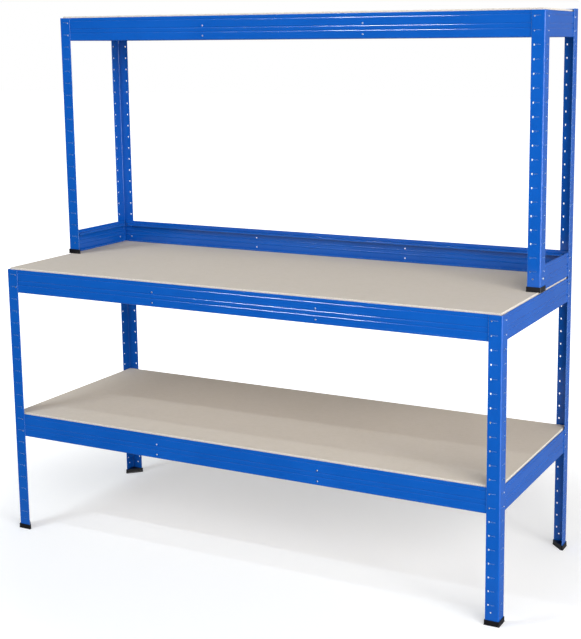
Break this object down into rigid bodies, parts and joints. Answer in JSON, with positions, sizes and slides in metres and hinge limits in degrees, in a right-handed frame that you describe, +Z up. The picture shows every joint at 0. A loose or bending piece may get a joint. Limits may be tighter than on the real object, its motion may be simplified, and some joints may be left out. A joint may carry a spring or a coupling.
{
  "type": "workbench with shelving",
  "caption": "Boltless steel workbench with slotted angle posts, a full depth lower shelf, a worktop and a half depth upper shelf, all with loose boards on rolled beams.",
  "frame": {"origin": "on the floor, in the middle of the width and of the depth", "axes": "+X along the width to the right, +Y to the rear, +Z up"},
  "size_m": [1.6056, 0.6056, 1.599],
  "materials": {
    "blue_paint": "smooth semi-gloss powder coat, mid blue",
    "board": "unfinished chipboard, pale grey-brown",
    "foot_plastic": "moulded black plastic",
    "zinc": "bright zinc plate"
  },
  "bodies": {
    "frame": {"base_left_tie": "blue_paint", "base_rear_tie": "blue_paint", "base_right_tie": "blue_paint", "base_tie_lugs": "zinc", "front_left_foot": "foot_plastic", "front_left_post": "blue_paint", "front_right_foot": "foot_plastic", "front_right_post": "blue_paint", "lower_shelf_front_beam": "blue_paint", "lower_shelf_left_bar": "blue_paint", "lower_shelf_left_beam": "blue_paint", "lower_shelf_lugs": "zinc", "lower_shelf_rear_beam": "blue_paint", "lower_shelf_right_bar": "blue_paint", "lower_shelf_right_beam": "blue_paint", "lower_shelf_rivets": "zinc", "rear_left_foot": "foot_plastic", "rear_left_post": "blue_paint", "rear_right_foot": "foot_plastic", "rear_right_post": "blue_paint", "top_shelf_front_beam": "blue_paint", "top_shelf_left_bar": "blue_paint", "top_shelf_left_beam": "blue_paint", "top_shelf_lugs": "zinc", "top_shelf_rear_beam": "blue_paint", "top_shelf_right_bar": "blue_paint", "top_shelf_right_beam": "blue_paint", "top_shelf_rivets": "zinc", "upper_frame_bolts": "zinc", "upper_left_foot": "foot_plastic", "upper_left_post": "blue_paint", "upper_right_foot": "foot_plastic", "upper_right_post": "blue_paint", "worktop_board": "board", "worktop_front_beam": "blue_paint", "worktop_left_bar": "blue_paint", "worktop_left_beam": "blue_paint", "worktop_lugs": "zinc", "worktop_rear_beam": "blue_paint", "worktop_right_bar": "blue_paint", "worktop_right_beam": "blue_paint", "worktop_rivets": "zinc"},
    "lower_shelf": {"lower_shelf_board": "board"},
    "top_shelf": {"top_shelf_board": "board"}
  },
  "joints": [
    {"name": "lower_shelf_lift", "type": "slide", "parent": "frame", "child": "lower_shelf", "axis": [0, 0, 1], "range_m": [0, 0.1]},
    {"name": "top_shelf_lift", "type": "slide", "parent": "frame", "child": "top_shelf", "axis": [0, 0, 1], "range_m": [0, 0.1]}
  ]
}
